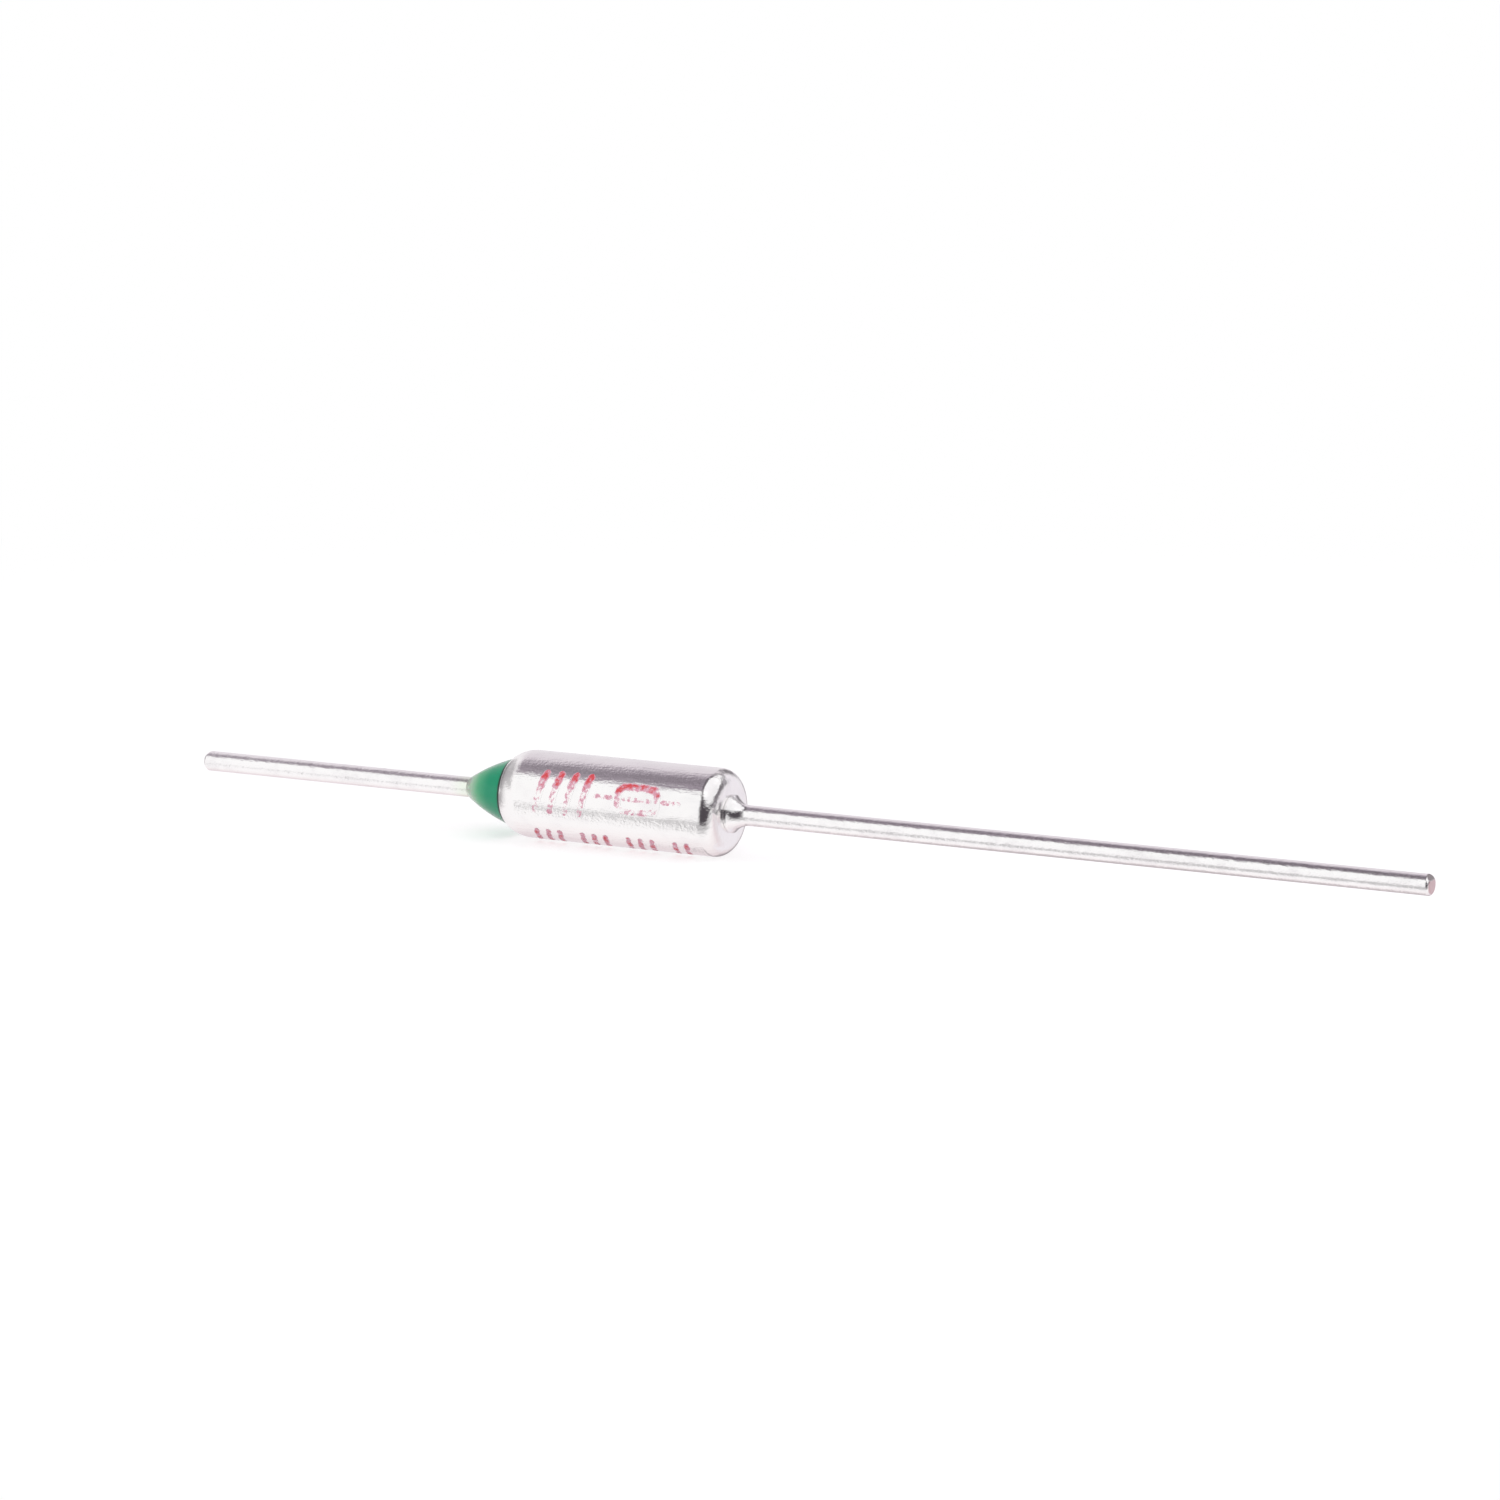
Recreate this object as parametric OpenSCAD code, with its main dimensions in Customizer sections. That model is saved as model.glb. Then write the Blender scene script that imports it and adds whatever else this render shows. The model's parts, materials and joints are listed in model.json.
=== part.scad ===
// Axial thermal fuse of the melting-pellet type: a drawn metal case, a staked wire lead at its
// closed end, and an insulated wire lead that leaves the rolled rim through a cone of resin.
// Inside, a spring stack presses a sliding star contact on the insulated lead's head.
// The axis lies along X and the origin is the middle of the case. Sizes are in millimetres.

/* [Case] */
// Outside diameter of the case
case_d = 4.2; // [3.8:0.1:5]
// Length of the case from its rolled rim to its closed end
case_len = 11.65; // [10.5:0.05:13]
// Wall thickness of the case
case_wall = 0.3; // [0.25:0.01:0.36]
// Thickness of the closed end
floor_t = 0.4; // [0.3:0.05:0.6]
// Outside radius of the shoulder round the closed end
shoulder_r = 0.75; // [0.45:0.05:0.8]
// Inside radius between the wall and the closed end
floor_fillet = 0.35; // [0.15:0.05:0.45]
// Wall thickness left where the bushing is seated
seat_wall = 0.2; // [0.16:0.01:0.23]
// Outside radius of the curve that rolls the rim inwards
crimp_r = 1.7; // [1.4:0.1:1.9]
// Angle that the rim is rolled through
crimp_angle = 41; // [35:1:48]

/* [Leads] */
// Diameter of both wire leads
lead_d = 0.97; // [0.8:0.01:1.2]
// Length of the case lead from the closed end to its tip
case_lead_len = 34.85; // [15:0.05:60]
// Length of the insulated lead from the case's rim to its tip
insulated_lead_len = 17.5; // [8:0.5:60]
// Width of the bevel at a cut tip
tip_bevel = 0.1; // [0.05:0.01:0.2]
// Diameter of the staked foot outside the closed end
foot_d = 1.8; // [1.4:0.1:2.2]
// Length of the staked foot
foot_len = 1; // [0.7:0.05:1.3]
// Length of the foot's straight collar
collar_len = 0.14; // [0.05:0.01:0.3]
// Diameter of the rivet head inside the closed end
rivet_d = 2.2; // [1.6:0.1:2.6]
// Thickness of the rivet head
rivet_t = 0.3; // [0.2:0.05:0.5]
// Diameter of the insulated lead's contact head
head_d = 1.7; // [1.4:0.1:2]
// Thickness of the contact head
head_t = 0.4; // [0.25:0.05:0.6]

/* [Bushing and seal] */
// Length of the ceramic bushing's main body
bushing_len = 2.8; // [2.2:0.1:3.4]
// Diameter of the bushing's nose
nose_d = 2; // [1.6:0.1:2.2]
// Length of the bushing's nose
nose_len = 1; // [0.7:0.1:1.4]
// Depth that the resin fills inside the rim
seal_depth = 0.45; // [0.25:0.05:0.6]
// Length of the resin cone outside the rim
seal_len = 2.5; // [1.8:0.1:3.2]
// Outward swell of the resin cone at its middle
seal_swell = 0.1; // [0.03:0.01:0.2]
// Width of bare rim left round the resin
seal_inset = 0.04; // [0.02:0.01:0.1]

/* [Spring stack] */
// Thickness of the two pressure discs
disc_t = 0.25; // [0.15:0.05:0.4]
// Bevel round the pellet's two ends
pellet_bevel = 0.2; // [0.1:0.05:0.3]
// Fitted length of the compression spring
compression_len = 1.9; // [1.7:0.1:2.6]
// Wire diameter of the compression spring
compression_wire = 0.3; // [0.2:0.01:0.33]
// Turns of the compression spring
compression_turns = 4; // [3:0.5:4]
// Wire diameter of the trip spring
trip_wire = 0.2; // [0.12:0.01:0.24]
// Turns of the trip spring
trip_turns = 4; // [3:0.5:4]
// Turns wound close at each end of a spring
closed_turns = 0.75; // [0.5:0.25:1]

/* [Star contact] */
// Sheet thickness of the star contact
star_t = 0.12; // [0.08:0.01:0.16]
// Number of spring fingers
finger_count = 8; // [6:1:12]
// Length of a finger along the case
finger_len = 1; // [0.8:0.05:1.4]
// Outside radius where a finger bends up
finger_bend_r = 0.35; // [0.25:0.05:0.45]
// Width of the slot between two fingers
slot_w = 0.4; // [0.25:0.05:0.55]

/* [Clearances] */
// Radial gap of the bushing in its seat
seat_gap = 0.02; // [0.01:0.01:0.04]
// Radial gap of the lead in the bushing
lead_gap = 0.03; // [0.02:0.01:0.06]
// Radial gap of the pellet and its disc in the bore
stack_gap = 0.05; // [0.03:0.01:0.1]
// Radial gap of the star contact in the bore
star_gap = 0.02; // [0.01:0.01:0.04]
// Gap between a spring and what it runs beside
spring_gap = 0.1; // [0.06:0.01:0.14]
// Gap between neighbouring close-wound turns
turn_gap = 0.02; // [0.01:0.01:0.04]
// Gap between an end turn and the face it seats on
seating_gap = 0.01; // [0.005:0.005:0.02]

/* [Hidden] */

$fn = 96;
flank_fn = 720;
wire_sides = 8;
steps_per_turn = 28;

// Radii
case_r = case_d / 2;
bore_r = case_r - case_wall;
seat_r = case_r - seat_wall;
lead_r = lead_d / 2;
crimp_axis_r = case_r - crimp_r;
mouth_r = crimp_axis_r + crimp_r * cos(crimp_angle);
star_r = bore_r - star_gap;
disc_r = star_r - finger_bend_r;

// Stations along the axis, from the rim to the closed end
rim_x = -case_len / 2;
crimp_x = rim_x + crimp_r * sin(crimp_angle);
bushing_x = rim_x + seal_depth;
ledge_x = bushing_x + bushing_len;
nose_x = ledge_x + nose_len;
star_x = nose_x + head_t;
contact_disc_x = star_x + star_t;
compression_x = contact_disc_x + disc_t;
pellet_disc_x = compression_x + compression_len;
pellet_x = pellet_disc_x + disc_t;
end_x = case_len / 2;
floor_x = end_x - floor_t;
rivet_x = floor_x - rivet_t;
shoulder_x = end_x - shoulder_r;

// Tips of the two leads and of the resin
case_tip_x = end_x + case_lead_len;
insulated_tip_x = rim_x - insulated_lead_len;
seal_tip_x = rim_x - seal_len;

// Revolves a section about the part's axis: the section's X is a radius, its Y runs along the axis.
module turned() {
    rotate([0, 90, 0])
        rotate_extrude()
            children();
}

// A disc of the section, from the axis out to radius r, between two stations.
module disc_section(r, from_x, to_x) {
    translate([0, from_x])
        square([r, to_x - from_x]);
}

// A disc of the section whose two rims are beveled.
module beveled_section(r, from_x, to_x, from_bevel, to_bevel) {
    polygon([
        [0, from_x],
        [r - from_bevel, from_x],
        [r, from_x + from_bevel],
        [r, to_x - to_bevel],
        [r - to_bevel, to_x],
        [0, to_x]
    ]);
}

// The wall that rolls inwards from the straight case to the rim.
module rolled_rim_section() {
    reach = 2 * crimp_r;
    translate([crimp_axis_r, crimp_x])
        intersection() {
            difference() {
                circle(crimp_r);
                circle(crimp_r - seat_wall);
            }
            polygon([[0, 0], [reach, 0], [reach, -reach * tan(crimp_angle)]]);
        }
}

// What fills the rolled rim between two stations, gap short of its inner wall.
module rim_filling_section(from_x, to_x, gap) {
    intersection() {
        union() {
            translate([crimp_axis_r, crimp_x])
                circle(crimp_r - seat_wall - gap);
            disc_section(crimp_axis_r, from_x, to_x);
        }
        disc_section(case_r, from_x, to_x);
    }
}

module case_section() {
    difference() {
        union() {
            disc_section(case_r, crimp_x, shoulder_x);
            disc_section(case_r - shoulder_r, shoulder_x, end_x);
            translate([case_r - shoulder_r, shoulder_x])
                circle(shoulder_r);
        }
        disc_section(seat_r, crimp_x, ledge_x);
        disc_section(bore_r, ledge_x, floor_x - floor_fillet);
        disc_section(bore_r - floor_fillet, floor_x - floor_fillet, floor_x);
        translate([bore_r - floor_fillet, floor_x - floor_fillet])
            circle(floor_fillet);
        disc_section(lead_r, floor_x, end_x);
    }
    rolled_rim_section();
}

// Drawn cup with a rounded shoulder, a seat for the bushing and a rolled rim.
module case() {
    color("silver")
        turned()
            case_section();
}

// The foot's concave flank meets the wire at a tangent.
module foot_section() {
    height = foot_d / 2 - lead_r;
    flank = foot_len - collar_len;
    flank_r = (height * height + flank * flank) / (2 * height);
    translate([lead_r, end_x])
        difference() {
            square([height, foot_len]);
            translate([flank_r, foot_len])
                circle(flank_r);
        }
}

// Long lead, staked through the closed end: rivet head inside, foot outside.
module case_lead() {
    color("gainsboro")
        turned() {
            beveled_section(lead_r, rivet_x, case_tip_x, 0, tip_bevel);
            disc_section(rivet_d / 2, rivet_x, floor_x);
            foot_section();
        }
}

// Short lead, with the contact head that the star contact is pressed on.
module insulated_lead() {
    color("gainsboro")
        turned() {
            beveled_section(lead_r, insulated_tip_x, star_x, tip_bevel, 0);
            disc_section(head_d / 2, nose_x, star_x);
        }
}

// The cone's flank is one shallow arc from the rim down to the wire. Its root fills the mouth.
module resin_cone_section() {
    base_r = mouth_r - seal_inset;
    chord = [lead_r - base_r, -seal_len];
    half = norm(chord) / 2;
    flank_r = (half * half + seal_swell * seal_swell) / (2 * seal_swell);
    inward = [chord[1], -chord[0]] / norm(chord);
    centre = [base_r, rim_x] + chord / 2 + inward * (flank_r - seal_swell);
    intersection() {
        translate(centre)
            circle(flank_r, $fn = flank_fn);
        disc_section(base_r, seal_tip_x, bushing_x);
    }
}

// Resin cast over the bushing and up to the rim, run out to a cone along the lead.
module resin_seal() {
    color("seagreen")
        turned()
            difference() {
                union() {
                    resin_cone_section();
                    rim_filling_section(rim_x, bushing_x, 0);
                }
                rolled_rim_section();
                disc_section(lead_r, seal_tip_x, bushing_x);
            }
}

// Insulator held between the case's ledge and its rolled rim.
module ceramic_bushing() {
    color("ivory")
        turned()
            difference() {
                union() {
                    rim_filling_section(bushing_x, (crimp_x + ledge_x) / 2, seat_gap);
                    disc_section(seat_r - seat_gap, crimp_x, ledge_x);
                    disc_section(nose_d / 2, ledge_x, nose_x);
                }
                disc_section(lead_r + lead_gap, bushing_x, nose_x);
            }
}

// Height of a spring wire's centre after t turns: close-wound ends, open turns between.
function wire_height(t, turns, wire, span) =
    let (
        close = wire + turn_gap,
        open_turns = turns - 2 * closed_turns,
        open = (span - wire - 2 * seating_gap - 2 * closed_turns * close) / open_turns
    )
    seating_gap + wire / 2
    + close * min(t, closed_turns)
    + open * min(max(t - closed_turns, 0), open_turns)
    + close * max(t - closed_turns - open_turns, 0);

// A coil spring on the axis from station x, as long as span. Its turns swell from end_r to middle_r.
module coil_spring(x, span, wire, turns, end_r, middle_r) {
    steps = ceil(turns * steps_per_turn);
    points = [
        for (i = [0 : steps], j = [0 : wire_sides - 1])
            let (
                t = turns * i / steps,
                around = 360 * (j + 0.5) / wire_sides,
                r = end_r + (middle_r - end_r) * sin(180 * i / steps) + wire / 2 * cos(around)
            )
            [
                r * cos(360 * t),
                r * sin(360 * t),
                wire_height(t, turns, wire, span) + wire / 2 * sin(around)
            ]
    ];
    sides = [
        for (i = [0 : steps - 1], j = [0 : wire_sides - 1])
            let (a = i * wire_sides, b = a + wire_sides, k = (j + 1) % wire_sides)
            [a + j, b + j, b + k, a + k]
    ];
    first_end = [for (j = [0 : wire_sides - 1]) j];
    last_end = [for (j = [wire_sides - 1 : -1 : 0]) steps * wire_sides + j];
    translate([x, 0, 0])
        rotate([0, 90, 0])
            polyhedron(points, concat(sides, [first_end, last_end]));
}

// Light spring round the bushing's nose, which drives the contact off the head once it is freed.
module trip_spring() {
    coil_r = max(nose_d, head_d) / 2 + spring_gap + trip_wire / 2;
    color("lightslategray")
        coil_spring(ledge_x, star_x - ledge_x, trip_wire, trip_turns, coil_r, coil_r);
}

// Cup of spring fingers that bear on the case's bore, with a flat middle on the contact head.
module star_contact() {
    color("lightgray")
        difference() {
            turned()
                difference() {
                    union() {
                        disc_section(disc_r, star_x, star_x + finger_len);
                        translate([disc_r, star_x + finger_bend_r])
                            circle(finger_bend_r);
                        disc_section(star_r, star_x + finger_bend_r, star_x + finger_len);
                    }
                    disc_section(disc_r, contact_disc_x, star_x + finger_len);
                    translate([disc_r, star_x + finger_bend_r])
                        circle(finger_bend_r - star_t);
                    disc_section(star_r - star_t, star_x + finger_bend_r, star_x + finger_len);
                }
            for (i = [0 : finger_count - 1])
                rotate([360 * i / finger_count, 0, 0])
                    translate([star_x, -slot_w / 2, disc_r])
                        cube([finger_len, slot_w, case_r]);
        }
}

// Flat disc between the compression spring and the star contact.
module contact_disc() {
    color("darkgray")
        turned()
            disc_section(disc_r, contact_disc_x, compression_x);
}

// Barrel spring that holds the contact closed while the pellet is solid.
module compression_spring() {
    end_r = disc_r - compression_wire / 2;
    middle_r = star_r - star_t - spring_gap - compression_wire / 2;
    color("slategray")
        coil_spring(compression_x, compression_len, compression_wire, compression_turns,
                    end_r, middle_r);
}

// Flat disc between the pellet and the compression spring.
module pellet_disc() {
    color("darkgray")
        turned()
            disc_section(bore_r - stack_gap, pellet_disc_x, pellet_x);
}

// Pressed tablet that fills the stack up to the rivet head, and melts at the rated temperature.
module thermal_pellet() {
    color("lightyellow")
        turned()
            beveled_section(bore_r - stack_gap, pellet_x, rivet_x, pellet_bevel, pellet_bevel);
}

case();
case_lead();
insulated_lead();
resin_seal();
ceramic_bushing();
trip_spring();
star_contact();
contact_disc();
compression_spring();
pellet_disc();
thermal_pellet();
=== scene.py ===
"""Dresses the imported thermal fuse: plated case, tinned leads, green resin, red print and a studio."""
import functools
import json
import math
from collections import namedtuple
from math import radians

import bpy
import numpy as np
from bpy.props import FloatProperty, FloatVectorProperty, IntProperty, PointerProperty
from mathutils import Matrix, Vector


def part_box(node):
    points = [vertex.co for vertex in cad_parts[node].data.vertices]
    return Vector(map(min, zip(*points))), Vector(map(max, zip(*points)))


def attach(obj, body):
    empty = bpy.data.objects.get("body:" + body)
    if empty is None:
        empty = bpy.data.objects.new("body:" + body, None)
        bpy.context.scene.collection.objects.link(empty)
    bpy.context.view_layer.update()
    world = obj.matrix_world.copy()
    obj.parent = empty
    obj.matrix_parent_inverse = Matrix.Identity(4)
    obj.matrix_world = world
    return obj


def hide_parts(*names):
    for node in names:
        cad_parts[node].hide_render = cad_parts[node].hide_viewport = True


bl_info = {
    "name": "Axial Thermal Fuse",
    "version": (1, 0, 0),
    "blender": (4, 5, 0),
    "location": "3D View > Sidebar > Fuse",
    "description": "Builds the looks of an axial thermal fuse round its packed solids",
    "category": "Add Mesh",
}

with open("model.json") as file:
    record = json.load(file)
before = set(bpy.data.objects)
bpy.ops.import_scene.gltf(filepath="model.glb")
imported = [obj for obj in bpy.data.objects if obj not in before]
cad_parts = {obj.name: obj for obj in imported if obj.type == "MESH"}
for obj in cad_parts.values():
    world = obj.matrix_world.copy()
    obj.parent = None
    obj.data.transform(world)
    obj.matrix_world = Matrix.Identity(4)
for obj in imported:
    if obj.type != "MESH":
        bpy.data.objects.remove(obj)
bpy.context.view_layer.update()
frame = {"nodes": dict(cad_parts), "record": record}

MM = 0.001
MICRON = 0.000001
TURN = 2 * math.pi

CASE_LOW, CASE_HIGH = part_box("case")
CASE_LEAD_LOW, CASE_LEAD_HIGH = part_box("case_lead")
INSULATED_LOW, INSULATED_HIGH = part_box("insulated_lead")
RESIN_LOW, RESIN_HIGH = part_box("resin_seal")
BUSHING_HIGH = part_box("ceramic_bushing")[1]
INK_DEPTH = 5 * MICRON
BUSHING_NOSE = 1.0 * MM
MOUNTS = {mount["name"]: mount for mount in frame["record"]["mounts"]}
WIRE_RADIUS = MOUNTS["case_lead_wire"]["dims"]["r_mm"] * MM

# Steps round each turned piece and each spring's wire, and steps along one turn of a spring
CASE_SIDES, RESIN_SIDES, WIRE_SIDES, SPRING_SIDES, SPRING_STEPS = 256, 192, 96, 16, 72
# Points across the skin of one stroke of ink
STROKE_POINTS = 7

# Least and most roughness, the streaks' scale, length and pit scale, and the depth of the grain
PLATE_GRAIN = {"gloss": (0.07, 0.16), "streaks": (4200.0, 5.0, 7500.0), "relief": 21 * MICRON}
WIRE_GRAIN = {"gloss": (0.08, 0.18), "streaks": (6400.0, 2.5, 9500.0), "relief": 18 * MICRON}
SPRING_GRAIN = {"gloss": (0.22, 0.40), "streaks": (9000.0, 1.0, 20000.0), "relief": 0.5 * MICRON}
CONTACT_GRAIN = {"gloss": (0.16, 0.34), "streaks": (6000.0, 1.0, 16000.0), "relief": 0.5 * MICRON}
DISC_GRAIN = {"gloss": (0.22, 0.42), "streaks": (5000.0, 1.0, 15000.0), "relief": 0.6 * MICRON}


def length(name, description, default):
    """A size in metres that a user can change."""
    return FloatProperty(name=name, description=description, default=default, unit="LENGTH", precision=6)


def degrees(name, description, default):
    """An angle that a user can change, given in degrees."""
    return FloatProperty(name=name, description=description, default=radians(default), subtype="ANGLE")


def number(name, description, default):
    """A plain number that a user can change."""
    return FloatProperty(name=name, description=description, default=default)


def colour(name, description, default):
    """A linear colour that a user can change."""
    return FloatVectorProperty(
        name=name, description=description, default=default, subtype="COLOR", min=0, max=1
    )


class FuseCaseSettings(bpy.types.PropertyGroup):
    """Sizes and plating of the drawn case."""

    radius: length("Radius", "Outside radius of the case below its ink", CASE_HIGH.y - INK_DEPTH)
    rim_x: length("Rim", "Station of the rolled rim", CASE_LOW.x)
    end_x: length("Closed end", "Station of the closed end's flat face", CASE_HIGH.x)
    wall: length("Wall", "Wall thickness round the spring stack", 0.3 * MM)
    seat_wall: length("Seat wall", "Wall thickness round the bushing", 0.2 * MM)
    floor: length("Floor", "Thickness of the closed end", 0.4 * MM)
    shoulder: length("Shoulder", "Outside radius of the shoulder", 0.75 * MM)
    floor_fillet: length("Floor fillet", "Inside radius at the closed end", 0.35 * MM)
    ledge_x: length("Ledge", "Station of the ledge behind the bushing", BUSHING_HIGH.x - BUSHING_NOSE)
    roll_radius: length("Roll radius", "Outside radius of the rim's roll", 1.7 * MM)
    roll_angle: degrees("Roll angle", "Angle that the rim is rolled through", 41)
    edge: length("Edge", "Rounding of the rim's sheared edges", 0.03 * MM)
    plating: colour("Plating", "Colour of the bright silver plate", (0.965, 0.957, 0.950))
    tarnish: colour("Tarnish", "Colour of the plate where it is dull", (0.88, 0.86, 0.87))


class FuseLeadSettings(bpy.types.PropertyGroup):
    """Sizes and finish of the two wire leads."""

    radius: length("Radius", "Radius of both wires", WIRE_RADIUS)
    case_tip_x: length("Case lead tip", "Station of the case lead's tip", CASE_LEAD_HIGH.x)
    insulated_tip_x: length("Insulated lead tip", "Station of the short lead's tip", INSULATED_LOW.x)
    bevel: length("Tip bevel", "Width of the bevel at a cut tip", 0.1 * MM)
    edge: length("Edge", "Rounding of the upset edges", 0.04 * MM)
    tip_edge: length("Tip edge", "Rounding of the cut tips", 0.16 * MM)
    shear_start: length("Shear start", "Height at which the cutter's upper face begins", 0.19 * MM)
    shear_lean: number("Shear lean", "Run along the wire per rise of the cutter's upper face", 0.75)
    foot_radius: length("Foot radius", "Radius of the staked foot", 0.9 * MM)
    foot_length: length("Foot length", "Length of the staked foot", 1.0 * MM)
    collar: length("Collar", "Length of the foot's straight collar", 0.14 * MM)
    rivet_radius: length("Rivet radius", "Radius of the rivet head in the case", CASE_LEAD_HIGH.z)
    rivet_x: length("Rivet", "Station of the rivet head's inner face", CASE_LEAD_LOW.x)
    head_radius: length("Head radius", "Radius of the contact head", INSULATED_HIGH.z)
    head_x: length("Head", "Station of the contact head's outer face", BUSHING_HIGH.x)
    star_x: length("Contact face", "Station of the contact head's face", INSULATED_HIGH.x)
    tin: colour("Tin", "Colour of the tinned wire", (0.970, 0.962, 0.960))
    dull_tin: colour("Dull tin", "Colour of the wire where it is dull", (0.88, 0.86, 0.87))
    copper: colour("Copper", "Colour of the cut wire's core", (0.70, 0.53, 0.54))
    smear: colour("Smear", "Colour of the metal that the cutter dragged over the tip", (0.33, 0.30, 0.30))


class FuseResinSettings(bpy.types.PropertyGroup):
    """Sizes and colours of the resin seal."""

    tip_x: length("Tip", "Station where the cone runs out on the wire", RESIN_LOW.x)
    root_x: length("Root", "Station of the resin's inner face", RESIN_HIGH.x)
    swell: length("Swell", "Outward swell of the cone at its middle", 0.1 * MM)
    inset: length("Inset", "Width of bare rim left round the resin", 0.04 * MM)
    body: colour("Body", "Colour of the resin where it is thick", (0.004, 0.415, 0.205))
    lit: colour("Lit", "Colour of the resin where light passes through it", (0.160, 0.645, 0.325))
    thin: colour("Thin", "Colour of the resin where the wire shows through", (0.84, 0.92, 0.80))
    # The dark line along the rim is painted shade: it stands for the shadowed groove where resin and rim
    # meet
    seam: colour("Seam", "Colour of the dark line along the rim", (0.022, 0.050, 0.040))


class FusePrintSettings(bpy.types.PropertyGroup):
    """Layout and ink of the stamped marks."""

    ink: colour("Ink", "Colour of the stamping ink", (0.95, 0.050, 0.070))
    thin_ink: colour("Thin ink", "Colour of the ink where it is thin", (1.0, 0.50, 0.63))
    film: length("Film", "Thickness of the ink", 0.8 * INK_DEPTH)
    lift: length("Lift", "Air between the plate and the ink", 0.2 * INK_DEPTH)
    upper_angle: degrees("Upper row", "Angle of the upper row's middle, up from the case's front", 17)
    lower_angle: degrees("Lower row", "Angle of the lower row's middle, up from the case's front", -55)
    height: length("Height", "Height of the upper row's marks", 2.5 * MM)
    small_height: length("Small height", "Height of the lower row's marks", 1.6 * MM)
    stroke: length("Stroke", "Width of a stroke", 0.32 * MM)
    stripes: IntProperty(name="Stripes", description="Number of slanted stripes", default=4, min=1)
    ticks: IntProperty(name="Ticks", description="Number of small ticks", default=11, min=1)


class FuseStackSettings(bpy.types.PropertyGroup):
    """Sizes of the two springs and colours of the pieces inside the case."""

    compression_wire: length("Compression wire", "Wire diameter of the barrel spring", 0.3 * MM)
    compression_turns: number("Compression turns", "Turns of the barrel spring", 4)
    trip_wire: length("Trip wire", "Wire diameter of the trip spring", 0.2 * MM)
    trip_turns: number("Trip turns", "Turns of the trip spring", 4)
    closed_turns: number("Closed turns", "Close-wound turns at each end of a spring", 0.75)
    turn_gap: length("Turn gap", "Gap between close-wound turns", 0.02 * MM)
    barrel_end_radius: length("Barrel end", "Radius of the barrel spring's end turns", 1.28 * MM)
    steel: colour("Steel", "Colour of the spring wire", (0.42, 0.42, 0.44))
    dull_steel: colour("Dull steel", "Colour of the spring wire where it is dull", (0.25, 0.25, 0.27))
    brass: colour("Brass", "Colour of the two discs", (0.74, 0.52, 0.24))
    dull_brass: colour("Dull brass", "Colour of the discs where they are dull", (0.45, 0.30, 0.12))
    silver: colour("Silver", "Colour of the star contact", (0.92, 0.90, 0.87))
    dull_silver: colour("Dull silver", "Colour of the star contact where it is dull", (0.6, 0.57, 0.55))
    ceramic: colour("Ceramic", "Colour of the bushing", (0.84, 0.80, 0.71))
    ceramic_speck: colour("Ceramic specks", "Colour of the bushing's specks", (0.66, 0.60, 0.50))
    pellet: colour("Pellet", "Colour of the pressed pellet", (0.86, 0.82, 0.66))
    pellet_speck: colour("Pellet specks", "Colour of the pellet's specks", (0.70, 0.62, 0.42))


class FuseStudioSettings(bpy.types.PropertyGroup):
    """Camera, floor and light."""

    azimuth: degrees("Azimuth", "Camera's turn from the front", 28.356)
    elevation: degrees("Elevation", "Camera's height angle", 10.234)
    distance: length("Distance", "From the camera to the point it looks at", 268.8 * MM)
    aim: FloatVectorProperty(
        name="Aim",
        description="Point that the camera looks at",
        default=(5.03 * MM, 3.25 * MM, 2.43 * MM),
        subtype="XYZ",
        unit="LENGTH",
        precision=6,
    )
    focal: number("Lens", "Focal length in millimetres", 137.2)
    floor_colour: colour("Floor", "Colour of the pale floor", (0.80, 0.80, 0.80))
    floor_glow: number("Floor glow", "Lift of the floor to white", 0.5)
    key_strength: number("Key", "Radiance of the overhead softbox", 0.85)
    key_spread: degrees("Key spread", "Half angle of the softbox", 42)
    fill_strength: number("Fill", "Radiance of the matte fill light", 0.6)


# Shapes


def arc(centre, radius, start, end, steps):
    """Points of a circle in the (x, r) half plane, evenly spaced from one angle to another."""
    angle = np.linspace(start, end, steps)
    return np.column_stack([centre[0] + radius * np.cos(angle), centre[1] + radius * np.sin(angle)])


def rounded_corner(before, corner, after, radius, steps=7):
    """An arc that touches both legs of a corner: its centre lies on their bisector."""
    before, corner, after = (np.asarray(point, float) for point in (before, corner, after))
    back = (before - corner) / np.linalg.norm(before - corner)
    ahead = (after - corner) / np.linalg.norm(after - corner)
    half = math.acos(np.clip(back @ ahead, -1, 1)) / 2
    reach = radius / math.tan(half)
    bisector = (back + ahead) / np.linalg.norm(back + ahead)
    centre = corner + bisector * radius / math.sin(half)
    start = corner + back * reach - centre
    end = corner + ahead * reach - centre
    share = np.linspace(0, 1, steps)[:, None]
    sweep = math.pi - 2 * half
    weights = np.sin((1 - share) * sweep), np.sin(share * sweep)
    return centre + (weights[0] * start + weights[1] * end) / math.sin(sweep)


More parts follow.
